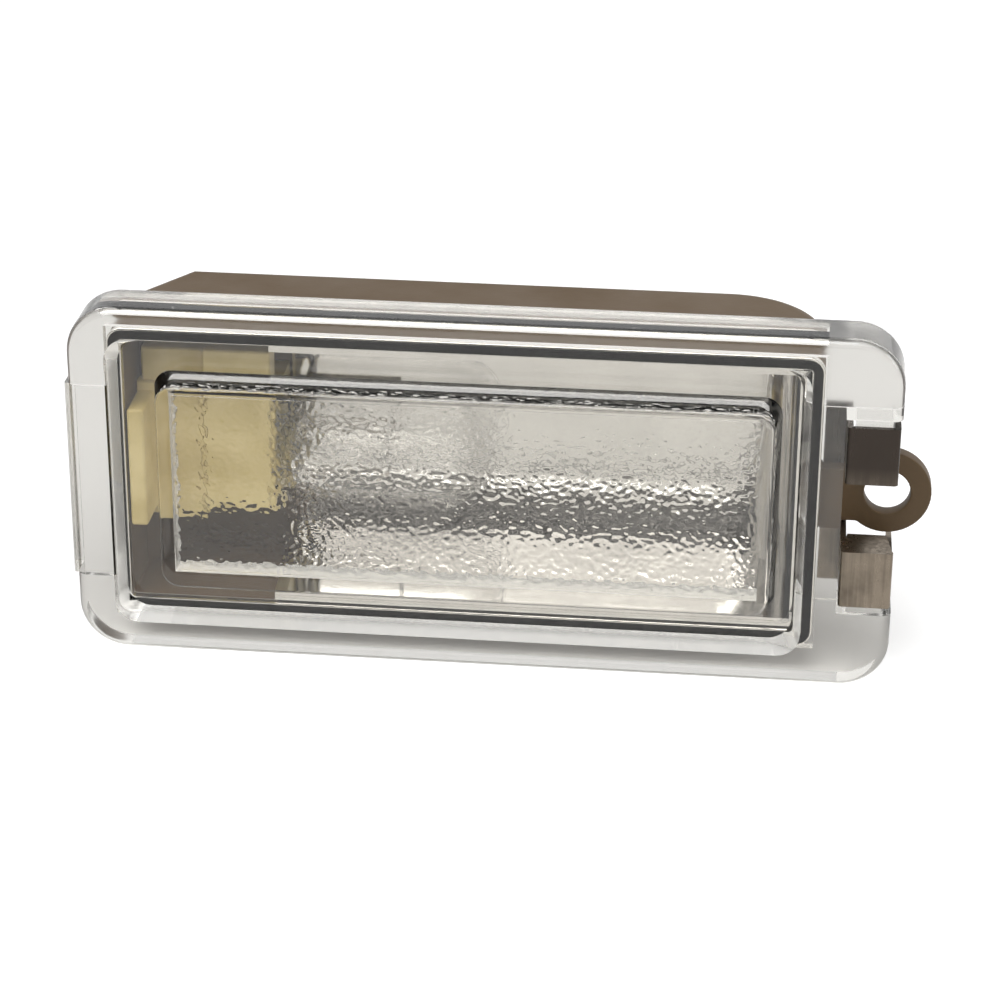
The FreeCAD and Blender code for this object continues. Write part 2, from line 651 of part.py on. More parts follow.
def make_spring_clip():
    """Folded strip: two lipped fingers over the lens's tongues, joined by a bridge behind the ear's neck."""
    body = new_body("spring_clip")
    strip = size("strip_thickness")
    front = size("flange_depth")
    corners = [
        (FINGER_LEFT, minus(BRIDGE_BACK)), (FINGER_LEFT, minus(front)), (FINGER_RIGHT, minus(front)),
        (FINGER_RIGHT, minus(WEB_BACK)), (f"{FINGER_LEFT} + {strip}", minus(WEB_BACK)),
        (f"{FINGER_LEFT} + {strip}", minus(BRIDGE_BACK)),
    ]
    finger_sketch = polygon_sketch(body, "finger_profile", "XY_Plane", FINGER_LOW, corners)
    finger = pad(body, "finger", finger_sketch, size("finger_height"))
    leg = rectangle(f"{FINGER_RIGHT} - {strip}", FINGER_RIGHT, minus(front),
                    f"{size('spring_leg_length')} - {front}")
    leg_sketch = polygon_sketch(body, "spring_leg_profile", "XY_Plane", SPRING_LEG_LOW, leg)
    spring_leg = pad(body, "spring_leg", leg_sketch, f"{FINGER_HIGH} - {SPRING_LEG_LOW}")
    lip_back = f"{size('lip_depth')} - {front}"
    lip = [
        (FINGER_LEFT, minus(front)), (FINGER_RIGHT, minus(front)),
        (f"{FINGER_RIGHT} - {size('lip_cut')}", lip_back), (f"{FINGER_LEFT} + {size('lip_cut')}", lip_back),
    ]
    lip_sketch = polygon_sketch(body, "lip_outline", "XY_Plane", FINGER_LOW, lip)
    finger_lip = pad(body, "lip", lip_sketch, strip)
    bridge_right = f"{FINGER_LEFT} + {strip}"
    bridge = rectangle(f"{bridge_right} - {size('bridge_width')}", bridge_right,
                       minus(FINGER_HIGH), FINGER_HIGH)
    bridge_sketch = polygon_sketch(body, "bridge_outline", "XZ_Plane", BRIDGE_BACK, bridge)
    pad(body, "bridge", bridge_sketch, strip)
    mirror_across_middle(body, "fingers", finger, spring_leg, finger_lip)
    fold = extent(body.Shape).YMin
    round_edges(body, "folds", size("bend_radius"), lambda edge: lies_at(edge, 1, fold) and runs_along(edge, 2))
    return body


pieces = [
    make_lens(),
    make_housing(),
    make_reflector(),
    make_bulb_holder(),
    make_contact("contact_upper", CONTACT_LOW),
    make_contact("contact_lower", minus(CONTACT_HIGH)),
    *make_bulb(),
    make_spring_clip(),
]
document.recompute()

for item in document.Objects:
    if "Invalid" in item.State or "Error" in item.State:
        raise ValueError(f"{item.Label} failed to build")
for piece in pieces:
    if piece.Shape.isNull() or not piece.Shape.isValid():
        raise ValueError(f"{piece.Label} has no valid shape")

os.makedirs("parts", exist_ok=True)
for piece in pieces:
    piece.Shape.exportStep(f"parts/{piece.Label}.step")
    print(piece.Label, len(piece.Shape.Solids), round(piece.Shape.Volume, 3))
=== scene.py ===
"""Dresses the recessed lamp with a pebbled lens, a blown bulb and a finish for every piece.

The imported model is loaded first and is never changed. The lens, the bulb's glass, the filament,
the tray and the bulb holder are modelled here over their plain solids. The other pieces get
their finishes, and the stage adds floor, light and camera.
"""

import math

import bpy
from mathutils import Matrix, Vector


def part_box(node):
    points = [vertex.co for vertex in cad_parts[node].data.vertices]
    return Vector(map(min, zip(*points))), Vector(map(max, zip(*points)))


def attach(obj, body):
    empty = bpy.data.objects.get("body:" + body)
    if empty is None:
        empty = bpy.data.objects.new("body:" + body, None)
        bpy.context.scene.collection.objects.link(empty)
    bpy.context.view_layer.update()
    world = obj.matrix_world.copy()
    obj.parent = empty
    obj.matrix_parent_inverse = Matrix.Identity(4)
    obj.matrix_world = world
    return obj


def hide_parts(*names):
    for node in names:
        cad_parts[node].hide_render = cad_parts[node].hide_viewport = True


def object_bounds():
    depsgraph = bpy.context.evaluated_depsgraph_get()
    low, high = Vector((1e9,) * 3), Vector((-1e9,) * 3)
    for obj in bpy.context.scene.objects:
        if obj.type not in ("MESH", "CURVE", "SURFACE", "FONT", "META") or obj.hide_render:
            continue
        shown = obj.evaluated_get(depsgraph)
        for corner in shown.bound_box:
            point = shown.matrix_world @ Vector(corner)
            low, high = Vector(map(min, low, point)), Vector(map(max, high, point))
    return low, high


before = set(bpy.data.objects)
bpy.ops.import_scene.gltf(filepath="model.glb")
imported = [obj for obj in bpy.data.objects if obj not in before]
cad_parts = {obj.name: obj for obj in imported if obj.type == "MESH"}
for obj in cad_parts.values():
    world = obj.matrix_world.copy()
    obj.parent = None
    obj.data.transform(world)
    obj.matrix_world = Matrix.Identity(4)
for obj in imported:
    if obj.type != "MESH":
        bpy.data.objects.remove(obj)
CAD_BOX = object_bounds()

bl_info = {
    "name": "Recessed lamp dressing",
    "version": (1, 0, 0),
    "blender": (4, 5, 0),
    "location": "View3D > Sidebar > Lamp",
    "description": "Models the lens, bulb, tray and holder, finishes the rest and sets the stage",
    "category": "Object",
}

MM = 0.001
MERGE_GAP = 0.000001
SMOOTH_ANGLE = math.radians(32)

# Inner face of the lens window, from the lens solid
WINDOW_INNER_FACE = -3.6 * MM
WINDOW_INNER_LEFT = -28.3 * MM
WINDOW_INNER_RIGHT = 25.3 * MM
WINDOW_INNER_TOP = 8.95 * MM

# Pebbled relief: its root in the window, and the finer pebbles as shares of the larger ones
RELIEF_ROOT = 0.5 * MM
FINE_PEBBLE_WIDTH = 0.45
FINE_PEBBLE_HEIGHT = 0.5

# Pinched base of the bulb, from the bulb's solid
WEDGE_LENGTH = 7.0 * MM
WEDGE_HEIGHT = 9.5 * MM
WEDGE_THICKNESS = 2.2 * MM
WEDGE_ROUND = 0.44 * MM
SHOULDER_LENGTH = 2.0 * MM

# Bulb holder: the height of its body, from its solid, and the rounding of what is added to it
BODY_HEIGHT = 11.7 * MM
BLOCK_ROUND = 0.3 * MM

# Guard along the tray's end wall, crown on the holder's top, pad on the right half of its front
GUARD_FRONT = -0.8 * MM
GUARD_ROOT = 1.0 * MM
GUARD_THICKNESS = 1.6 * MM
CROWN_TOP = 10.0 * MM
CROWN_SETBACK = 0.6 * MM
CROWN_DEPTH = 2.2 * MM
CROWN_ROOT = 0.5 * MM
CROWN_INSET = 0.35 * MM
PAD_TOP = 10.4 * MM
PAD_OFFSET = 6.3 * MM
PAD_THICKNESS = 0.5 * MM
PAD_ROOT = 0.8 * MM
PAD_INSET = 0.27 * MM

# Clear plastic and glass: refraction, and the hazier places as a share of the tint
LENS_INDEX = 1.58
GLASS_INDEX = 1.5
CLEAR_HAZE = 0.985

# Dull back of the lens frame
FROST_START = -0.4 * MM
FROST_END = -0.2 * MM
FROST_ROUGHNESS = 0.28

# Tray: faces this flat are joined, edges this sharp are eased, and the brown's darker flow
FLAT_ANGLE = math.radians(0.5)
EASE_ANGLE = math.radians(28)
BROWN_FLOW = (0.92, 0.91, 0.90)

# Bright coat on the tray's front rim, with its roughness as a share of the plastic's
RIM_COAT_START = -0.4 * MM
RIM_COAT_END = -0.2 * MM
RIM_COAT_POLISH = 0.3

# Heights on the spring clip between which painted shade darkens it towards the upper finger
PAINTED_SHADE_START = -1.0 * MM
PAINTED_SHADE_END = 5.0 * MM

# Floor's own glow, as the camera and as clear pieces and mirrors show it
FLOOR_GLOW = 0.38
FLOOR_GLOW_IN_GLASS = 0.06

# Dim side of the room: where it fades out ahead, upwards and towards the lamp's right
DIM_AHEAD = (0.35, 0.50)
DIM_HEIGHT = (0.56, 0.72)
DIM_ASIDE = (0.04, 0.20)
DIM_COLOUR = (0.020, 0.014, 0.010, 1)

# Soft light from all round, pale backdrop, broad light from above
FILL_COLOUR = (1.0, 0.99, 0.98, 1)
FILL_STRENGTH = 0.33
BACKDROP_COLOUR = (0.8, 0.8, 0.8, 1)
OVERHEAD_STRENGTH = 1.45
OVERHEAD_SPREAD = math.radians(40)
OVERHEAD_TILT = (math.radians(22), math.radians(-18), 0)

# Name, place, side and power of each square lamp
SOFTBOXES = (
    ("upper softbox", (0.10, -0.16, 0.38), 0.26, 0.55),
    ("side softbox", (0.36, -0.10, 0.14), 0.18, 0.25),
    ("front softbox", (-0.06, -0.36, 0.31), 0.32, 0.40),
)

# Light that crosses the lens and the bulb on its way in and out needs more than the usual 12 bounces
LIGHT_BOUNCES = 24

# Viewing angle of the photograph, in a square picture
PICTURE_SIDE = 1000
CAMERA_AZIMUTH = math.radians(5.949)
CAMERA_ELEVATION = math.radians(24.355)
CAMERA_ROLL = math.radians(0.296)
CAMERA_DISTANCE = 276.525 * MM
CAMERA_LENS = 108.4
ORIGIN_PIXEL = (485.1, 478.0)


class LampSizes(bpy.types.PropertyGroup):
    """Sizes of what is modelled over the solids."""

    pebble_pitch: bpy.props.FloatProperty(
        name="Pebble mesh pitch",
        description="Distance between neighbouring points of the pebbled face",
        default=0.125 * MM,
        unit="LENGTH",
    )
    pebble_width: bpy.props.FloatProperty(
        name="Pebble width",
        description="Size of the larger pebbles",
        default=0.46 * MM,
        unit="LENGTH",
    )
    pebble_height: bpy.props.FloatProperty(
        name="Pebble height",
        description="Height of the larger pebbles from trough to crest",
        default=0.110 * MM,
        unit="LENGTH",
    )
    relief_margin: bpy.props.FloatProperty(
        name="Relief margin",
        description="Plain edge left round the pebbled face",
        default=0.25 * MM,
        unit="LENGTH",
    )
    housing_ease: bpy.props.FloatProperty(
        name="Housing edge ease",
        description="Width of the rounding on the tray's sharp edges",
        default=0.18 * MM,
        unit="LENGTH",
    )
    bulb_wall: bpy.props.FloatProperty(
        name="Bulb wall",
        description="Thickness of the bulb's blown glass",
        default=0.25 * MM,
        unit="LENGTH",
    )
    filament_wire: bpy.props.FloatProperty(
        name="Filament wire",
        description="Diameter of the filament's wire",
        default=0.07 * MM,
        unit="LENGTH",
    )
    filament_turns: bpy.props.IntProperty(
        name="Filament turns",
        description="Number of turns in the filament's coil",
        default=28,
    )
    floor_reach: bpy.props.FloatProperty(
        name="Floor reach",
        description="Distance from the lamp to the floor's edge",
        default=1.5,
        unit="LENGTH",
    )


class LampFinishes(bpy.types.PropertyGroup):
    """Colours of the lamp's finishes."""

    lens_tint: bpy.props.FloatVectorProperty(
        name="Lens tint",
        description="Colour of the clear plastic",
        subtype="COLOR",
        default=(0.845, 0.830, 0.788),
    )
    housing_brown: bpy.props.FloatVectorProperty(
        name="Housing brown",
        description="Colour of the moulded tray",
        subtype="COLOR",
        default=(0.098, 0.064, 0.033),
    )
    reflector_silver: bpy.props.FloatVectorProperty(
        name="Reflector silver",
        description="Colour of the metallised trough",
        subtype="COLOR",
        default=(0.86, 0.85, 0.84),
    )
    holder_ivory: bpy.props.FloatVectorProperty(
        name="Holder ivory",
        description="Colour of the bulb holder away from the bulb",
        subtype="COLOR",
        default=(0.74, 0.62, 0.32),
    )
    holder_amber: bpy.props.FloatVectorProperty(
        name="Holder amber",
        description="Colour of the bulb holder where the bulb has heated it",
        subtype="COLOR",
        default=(0.52, 0.41, 0.16),
    )
    contact_brass: bpy.props.FloatVectorProperty(
        name="Contact brass",
        description="Colour of the stamped contacts",
        subtype="COLOR",
        default=(0.72, 0.54, 0.25),
    )
    bulb_tint: bpy.props.FloatVectorProperty(
        name="Bulb glass",
        description="Colour of the bulb's clear glass",
        subtype="COLOR",
        default=(0.995, 0.995, 0.995),
    )
    lead_grey: bpy.props.FloatVectorProperty(
        name="Lead wire grey",
        description="Colour of the bulb's lead wires",
        subtype="COLOR",
        default=(0.55, 0.52, 0.48),
    )
    filament_grey: bpy.props.FloatVectorProperty(
        name="Filament grey",
        description="Colour of the tungsten coil",
        subtype="COLOR",
        default=(0.30, 0.30, 0.30),
    )
    clip_steel: bpy.props.FloatVectorProperty(
        name="Clip steel",
        description="Colour of the darkened spring strip",
        subtype="COLOR",
        default=(0.27, 0.225, 0.175),
    )
    # Painted shade: the dark colour blended onto the clip's upper finger
    clip_painted_shade: bpy.props.FloatVectorProperty(
        name="Clip painted shade",
        description="Painted shade on the spring strip's upper finger",
        subtype="COLOR",
        default=(0.055, 0.045, 0.038),
    )
    floor_white: bpy.props.FloatVectorProperty(
        name="Floor white",
        description="Colour of the studio floor",
        subtype="COLOR",
        default=(0.80, 0.80, 0.80),
    )


def sizes():
    """The size settings of the current scene."""
    return bpy.context.scene.lamp_sizes


def finishes():
    """The colour settings of the current scene."""
    return bpy.context.scene.lamp_finishes


def select_only(piece):
    """Leaves one object selected and active, in object mode."""
    bpy.ops.object.select_all(action="DESELECT")
    piece.select_set(True)
    bpy.context.view_layer.objects.active = piece


def apply_modifier(piece, kind, **settings):
    """Adds a modifier with its settings and applies it."""
    select_only(piece)
    modifier = piece.modifiers.new(kind.lower(), kind)
    for name, value in settings.items():
        setattr(modifier, name, value)
    bpy.ops.object.modifier_apply(modifier=modifier.name)


def smooth_rounds(piece):
    """Shades the rounds smooth and keeps the flat faces flat."""
    select_only(piece)
    bpy.ops.object.shade_smooth_by_angle(angle=SMOOTH_ANGLE)
    apply_modifier(piece, "WEIGHTED_NORMAL", keep_sharp=True)


def stand_for(piece, node):
    """The piece rides with the lamp and stands for its solid, which is hidden."""
    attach(piece, "root")
    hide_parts(node)


def solid_copy(node, name):
    """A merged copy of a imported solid, as a new object of its own."""
    piece = bpy.data.objects.new(name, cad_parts[node].data.copy())
    bpy.context.scene.collection.objects.link(piece)
    select_only(piece)
    bpy.ops.object.mode_set(mode="EDIT")
    bpy.ops.mesh.select_all(action="SELECT")
    bpy.ops.mesh.remove_doubles(threshold=MERGE_GAP)
    bpy.ops.object.mode_set(mode="OBJECT")
    bpy.ops.mesh.customdata_custom_splitnormals_clear()
    return piece


def pebble_texture(name, width):
    """Cloud noise whose bumps are about the given width."""
    texture = bpy.data.textures.new(name, "CLOUDS")
    texture.noise_basis = "IMPROVED_PERLIN"
    texture.noise_scale = width
    texture.noise_depth = 0
    return texture


def pebbled_sheet():
    """A closed slab whose back is pebbled, rooted in the window's inner face."""
    margin = sizes().relief_margin
    length = WINDOW_INNER_RIGHT - WINDOW_INNER_LEFT - 2 * margin
    height = 2 * (WINDOW_INNER_TOP - margin)
    middle = (WINDOW_INNER_LEFT + WINDOW_INNER_RIGHT) / 2
    bpy.ops.object.select_all(action="DESELECT")
    bpy.ops.mesh.primitive_grid_add(
        x_subdivisions=round(length / sizes().pebble_pitch),
        y_subdivisions=round(height / sizes().pebble_pitch),
        size=1,
        location=(middle, WINDOW_INNER_FACE, 0),
        rotation=(-math.pi / 2, 0, 0),
    )
    sheet = bpy.context.object
    sheet.scale = (length, height, 1)
    bpy.ops.object.transform_apply(location=True, rotation=True, scale=True)
    broad = pebble_texture("broad pebbles", sizes().pebble_width)
    fine = pebble_texture("fine pebbles", sizes().pebble_width * FINE_PEBBLE_WIDTH)
    for texture, strength in ((broad, 1.0), (fine, FINE_PEBBLE_HEIGHT)):
        apply_modifier(
            sheet,
            "DISPLACE",
            texture=texture,
            texture_coords="LOCAL",
            direction="Y",
            mid_level=0.0,
            strength=sizes().pebble_height * strength,
        )
    bpy.ops.object.mode_set(mode="EDIT")
    bpy.ops.mesh.select_all(action="SELECT")
    bpy.ops.mesh.extrude_region_move(TRANSFORM_OT_translate={"value": (0, -RELIEF_ROOT, 0)})
    bpy.ops.transform.resize(
        value=(1, 0, 1),
        center_override=(middle, WINDOW_INNER_FACE - RELIEF_ROOT, 0),
    )
    bpy.ops.mesh.select_all(action="SELECT")
    bpy.ops.mesh.normals_make_consistent(inside=False)
    bpy.ops.object.mode_set(mode="OBJECT")
    return sheet


def blown_tube(axis, length, radius):
    """A thin-walled tube along X, with a round tip and a flatter shoulder at its other end."""
    bpy.ops.object.select_all(action="DESELECT")
    bpy.ops.mesh.primitive_uv_sphere_add(
        segments=64,
        ring_count=32,
        radius=radius,
        location=(axis.x - radius, axis.y, axis.z),
        rotation=(0, math.pi / 2, 0),
    )
    tube = bpy.context.object
    bpy.ops.object.transform_apply(location=True, rotation=True, scale=True)
    middle = axis.x - radius
    bpy.ops.object.mode_set(mode="EDIT")
    bpy.ops.mesh.select_mode(type="VERT")
    bpy.ops.mesh.select_all(action="DESELECT")
    bpy.ops.object.mode_set(mode="OBJECT")
    for vertex in tube.data.vertices:
        vertex.select = vertex.co.x < middle - MERGE_GAP
    bpy.ops.object.mode_set(mode="EDIT")
    bpy.ops.transform.resize(
        value=(SHOULDER_LENGTH / radius, 1, 1),
        center_override=(middle, axis.y, axis.z),
    )
    bpy.ops.transform.translate(value=(radius + SHOULDER_LENGTH - length, 0, 0))
    bpy.ops.object.mode_set(mode="OBJECT")
    apply_modifier(tube, "SOLIDIFY", thickness=sizes().bulb_wall, offset=-1.0)
    return tube


def pinched_wedge(low, axis):
    """The flat base of the bulb, with rounded edges, rooted in the tube's shoulder."""
    reach = WEDGE_LENGTH + SHOULDER_LENGTH / 2
    bpy.ops.object.select_all(action="DESELECT")
    bpy.ops.mesh.primitive_cube_add(size=1, location=(low.x + reach / 2, axis.y, axis.z))
    wedge = bpy.context.object
    wedge.scale = (reach, WEDGE_THICKNESS, WEDGE_HEIGHT)
    bpy.ops.object.transform_apply(location=True, rotation=True, scale=True)
    apply_modifier(wedge, "BEVEL", width=WEDGE_ROUND, segments=3)
    return wedge


def rounded_block(low, high):
    """A block between two corners, with rounded edges."""
    bpy.ops.object.select_all(action="DESELECT")
    bpy.ops.mesh.primitive_cube_add(size=1, location=(low + high) / 2)
    block = bpy.context.object
    block.scale = high - low
    bpy.ops.object.transform_apply(location=True, rotation=True, scale=True)
    apply_modifier(block, "BEVEL", width=BLOCK_ROUND, segments=3)
    return block


def holder_blocks(low, high):
    """The guard, the crown and the pad of the bulb holder, each rooted in it."""
    body_top = (low.z + high.z + BODY_HEIGHT) / 2
    body_foot = body_top - BODY_HEIGHT
    guard = rounded_block(
        Vector((low.x, GUARD_FRONT, body_foot)),
        Vector((low.x + GUARD_THICKNESS, low.y + GUARD_ROOT, body_top)),
    )
    crown_front = low.y + CROWN_SETBACK
    crown = rounded_block(
        Vector((low.x + CROWN_INSET, crown_front, body_top - CROWN_ROOT)),
        Vector((high.x - CROWN_INSET, crown_front + CROWN_DEPTH, CROWN_TOP)),
    )
    pad = rounded_block(
        Vector((low.x + PAD_OFFSET, low.y - PAD_THICKNESS, body_foot + PAD_INSET)),
        Vector((high.x - PAD_INSET, low.y + PAD_ROOT, PAD_TOP)),
    )
    return guard, crown, pad


def node_group(name, inputs, outputs):
    """An empty shader group with float and colour sockets, and its two end nodes."""
    group = bpy.data.node_groups.new(name, "ShaderNodeTree")
    for socket, kind, default in inputs:
        made = group.interface.new_socket(socket, in_out="INPUT", socket_type=kind)
        made.default_value = default
    for socket, kind in outputs:
        group.interface.new_socket(socket, in_out="OUTPUT", socket_type=kind)
    start = group.nodes.new("NodeGroupInput")
    end = group.nodes.new("NodeGroupOutput")
    return group, start, end


def noise_node(tree, scale, detail, roughness=0.5):
    """A noise texture with its settings."""
    node = tree.nodes.new("ShaderNodeTexNoise")
    node.inputs["Scale"].default_value = scale
    node.inputs["Detail"].default_value = detail
    node.inputs["Roughness"].default_value = roughness
    return node


def range_node(tree, low, high, to_low, to_high):
    """A clamped map from one range of values to another."""
    node = tree.nodes.new("ShaderNodeMapRange")
    node.inputs["From Min"].default_value = low
    node.inputs["From Max"].default_value = high
    node.inputs["To Min"].default_value = to_low
    node.inputs["To Max"].default_value = to_high
    return node


def math_node(tree, operation, first, second):
    """The result of a sum on two values, each a socket or a plain number."""
    node = tree.nodes.new("ShaderNodeMath")
    node.operation = operation
    for value, socket in ((first, node.inputs[0]), (second, node.inputs[1])):
        if isinstance(value, bpy.types.NodeSocket):
            tree.links.new(value, socket)
        else:
            socket.default_value = value
    return node.outputs["Value"]


def colour_mix(tree):
    """The factor, first colour, second colour and result of a new colour mix node."""
    node = tree.nodes.new("ShaderNodeMix")
    node.data_type = "RGBA"
    return node.inputs[0], node.inputs[6], node.inputs[7], node.outputs[2]


def range_along(tree, axis, start, end, to_start, to_end):
    """A value that goes from one number to another along an axis of the piece."""
    place = tree.nodes.new("ShaderNodeTexCoord")
    parts = tree.nodes.new("ShaderNodeSeparateXYZ")
    tree.links.new(place.outputs["Object"], parts.inputs["Vector"])
    share = range_node(tree, start, end, to_start, to_end)
    tree.links.new(parts.outputs[axis], share.inputs["Value"])
    return share.outputs["Result"]


def moulded_group():
    """Uneven colour and gloss of moulded plastic, glass or plating, with a fine surface grain."""
    if "moulded surface" in bpy.data.node_groups:
        return bpy.data.node_groups["moulded surface"]
    group, start, end = node_group(
        "moulded surface",
        (
            ("Colour", "NodeSocketColor", (0.5, 0.5, 0.5, 1)),
            ("Flow Colour", "NodeSocketColor", (0.4, 0.4, 0.4, 1)),
            ("Flow Scale", "NodeSocketFloat", 120.0),
            ("Grain Scale", "NodeSocketFloat", 2500.0),
            ("Smooth", "NodeSocketFloat", 0.2),
            ("Dull", "NodeSocketFloat", 0.4),
        ),
        (
            ("Colour", "NodeSocketColor"),
            ("Roughness", "NodeSocketFloat"),
            ("Height", "NodeSocketFloat"),
        ),
    )
    links = group.links
    place = group.nodes.new("ShaderNodeTexCoord")
    flow = noise_node(group, 120.0, 4.0, 0.55)
    links.new(place.outputs["Object"], flow.inputs["Vector"])
    links.new(start.outputs["Flow Scale"], flow.inputs["Scale"])
    spread = range_node(group, 0.35, 0.68, 0.0, 1.0)
    links.new(flow.outputs["Fac"], spread.inputs["Value"])
    factor, first, second, result = colour_mix(group)
    links.new(spread.outputs["Result"], factor)
    links.new(start.outputs["Colour"], first)
    links.new(start.outputs["Flow Colour"], second)
    links.new(result, end.inputs["Colour"])
    grain = noise_node(group, 2500.0, 2.0)
    links.new(place.outputs["Object"], grain.inputs["Vector"])
    links.new(start.outputs["Grain Scale"], grain.inputs["Scale"])
    links.new(grain.outputs["Fac"], end.inputs["Height"])
    gloss = range_node(group, 0.3, 0.7, 0.0, 1.0)
    links.new(flow.outputs["Fac"], gloss.inputs["Value"])
    links.new(start.outputs["Smooth"], gloss.inputs["To Min"])
    links.new(start.outputs["Dull"], gloss.inputs["To Max"])
    links.new(gloss.outputs["Result"], end.inputs["Roughness"])
    return group


def rolled_group():
    """Long fine lines of rolled or drawn metal, with tarnish between them."""
    if "rolled metal" in bpy.data.node_groups:
        return bpy.data.node_groups["rolled metal"]
    group, start, end = node_group(
        "rolled metal",
        (
            ("Colour", "NodeSocketColor", (0.5, 0.5, 0.5, 1)),
            ("Tarnish", "NodeSocketColor", (0.2, 0.2, 0.2, 1)),
            ("Across", "NodeSocketVector", (4000.0, 4000.0, 150.0)),
            ("Smooth", "NodeSocketFloat", 0.25),
            ("Dull", "NodeSocketFloat", 0.5),
        ),
        (
            ("Colour", "NodeSocketColor"),
            ("Roughness", "NodeSocketFloat"),
            ("Height", "NodeSocketFloat"),
        ),
    )
    links = group.links
    place = group.nodes.new("ShaderNodeTexCoord")
    stretch = group.nodes.new("ShaderNodeVectorMath")
    stretch.operation = "MULTIPLY"
    links.new(place.outputs["Object"], stretch.inputs[0])
    links.new(start.outputs["Across"], stretch.inputs[1])
    lines = noise_node(group, 1.0, 3.0, 0.6)
    links.new(stretch.outputs["Vector"], lines.inputs["Vector"])
    links.new(lines.outputs["Fac"], end.inputs["Height"])
    stain = noise_node(group, 320.0, 5.0, 0.6)
    links.new(place.outputs["Object"], stain.inputs["Vector"])
    both = math_node(group, "ADD", lines.outputs["Fac"], stain.outputs["Fac"])
    spread = range_node(group, 0.8, 1.25, 0.0, 1.0)
    links.new(both, spread.inputs["Value"])
    factor, first, second, result = colour_mix(group)
    links.new(spread.outputs["Result"], factor)
    links.new(start.outputs["Colour"], first)
    links.new(start.outputs["Tarnish"], second)
    links.new(result, end.inputs["Colour"])
    gloss = range_node(group, 0.8, 1.25, 0.0, 1.0)
    links.new(both, gloss.inputs["Value"])
    links.new(start.outputs["Smooth"], gloss.inputs["To Min"])
    links.new(start.outputs["Dull"], gloss.inputs["To Max"])
    links.new(gloss.outputs["Result"], end.inputs["Roughness"])
    return group


def new_material(name, group, bump_distance, bump_strength):
    """A material whose colour, gloss and bump come from a shared group."""
    material = bpy.data.materials.new(name)
    material.use_nodes = True
    tree = material.node_tree
    shader = tree.nodes["Principled BSDF"]
    surface = tree.nodes.new("ShaderNodeGroup")
    surface.node_tree = group
    bump = tree.nodes.new("ShaderNodeBump")
    bump.inputs["Distance"].default_value = bump_distance
    bump.inputs["Strength"].default_value = bump_strength
    tree.links.new(surface.outputs["Colour"], shader.inputs["Base Color"])
    tree.links.new(surface.outputs["Roughness"], shader.inputs["Roughness"])
    tree.links.new(surface.outputs["Height"], bump.inputs["Height"])
    tree.links.new(bump.outputs["Normal"], shader.inputs["Normal"])
    return material, surface, shader


def scaled(colour, share):
    """The colour with each channel multiplied by a share."""
    return tuple(channel * share for channel in colour)


def opaque(colour):
    """The colour with full cover."""
    return tuple(colour) + (1.0,)


def moulded_material(name, colour, flow, scales, gloss, bump):
    """Moulded plastic, glass or plating on the shared moulded surface."""
    material, surface, shader = new_material(name, moulded_group(), bump[0], bump[1])
    surface.inputs["Colour"].default_value = opaque(colour)
    surface.inputs["Flow Colour"].default_value = opaque(flow)
    surface.inputs["Flow Scale"].default_value = scales[0]
    surface.inputs["Grain Scale"].default_value = scales[1]
    surface.inputs["Smooth"].default_value = gloss[0]
    surface.inputs["Dull"].default_value = gloss[1]
    return material, surface, shader


def metal_material(name, colour, tarnish, across, gloss, bump):
    """Rolled or drawn metal on the shared metal surface."""
    material, surface, shader = new_material(name, rolled_group(), bump[0], bump[1])
    surface.inputs["Colour"].default_value = opaque(colour)
    surface.inputs["Tarnish"].default_value = opaque(scaled(colour, tarnish))
    surface.inputs["Across"].default_value = across
    surface.inputs["Smooth"].default_value = gloss[0]
    surface.inputs["Dull"].default_value = gloss[1]
    shader.inputs["Metallic"].default_value = 1.0
    return material


def blend_along(material, axis, start, end, colour):
    """Blends the base colour into another one along an axis of the piece."""
    tree = material.node_tree
    base = tree.nodes["Principled BSDF"].inputs["Base Color"]
    under = base.links[0].from_socket
    factor, first, second, result = colour_mix(tree)
    tree.links.new(range_along(tree, axis, start, end, 0.0, 1.0), factor)
    tree.links.new(under, first)
    second.default_value = opaque(colour)
    tree.links.new(result, base)


def let_lamps_through(material, shader):
    """Lets lamp light pass the clear material, so what is behind it is lit."""
    tree = material.node_tree
    path = tree.nodes.new("ShaderNodeLightPath")
    clear = tree.nodes.new("ShaderNodeBsdfTransparent")
    mix = tree.nodes.new("ShaderNodeMixShader")
    tree.links.new(path.outputs["Is Shadow Ray"], mix.inputs[0])
    tree.links.new(shader.outputs["BSDF"], mix.inputs[1])
    tree.links.new(clear.outputs["BSDF"], mix.inputs[2])
    tree.links.new(mix.outputs["Shader"], tree.nodes["Material Output"].inputs["Surface"])


def frost_seat(material, surface, shader):
    """Dulls the back of the frame, the face that sits against the panel."""
    tree = material.node_tree
    seat = range_along(tree, "Y", FROST_START, FROST_END, 0.0, FROST_ROUGHNESS)
    dullest = math_node(tree, "MAXIMUM", surface.outputs["Roughness"], seat)
    tree.links.new(dullest, shader.inputs["Roughness"])


def coat_rim(material, surface, shader):
    """Carries the reflector's bright coat over the tray's front rim, where the lens sits."""
    tree = material.node_tree
    blend_along(material, "Y", RIM_COAT_END, RIM_COAT_START, finishes().reflector_silver)
    coated = range_along(tree, "Y", RIM_COAT_END, RIM_COAT_START, 0.0, 1.0)
    tree.links.new(coated, shader.inputs["Metallic"])
    polish = range_along(tree, "Y", RIM_COAT_END, RIM_COAT_START, 1.0, RIM_COAT_POLISH)
    gloss = math_node(tree, "MULTIPLY", surface.outputs["Roughness"], polish)
    tree.links.new(gloss, shader.inputs["Roughness"])


def clear_material(name, tint, index, gloss, bump):
    """Clear plastic or glass, a little hazy in places."""
    material, surface, shader = moulded_material(
        name,
        tint,
        scaled(tint, CLEAR_HAZE),
        (90.0, 900.0),
        gloss,
        bump,
    )
    shader.inputs["Transmission Weight"].default_value = 1.0
    shader.inputs["IOR"].default_value = index
    let_lamps_through(material, shader)
    return material, surface, shader


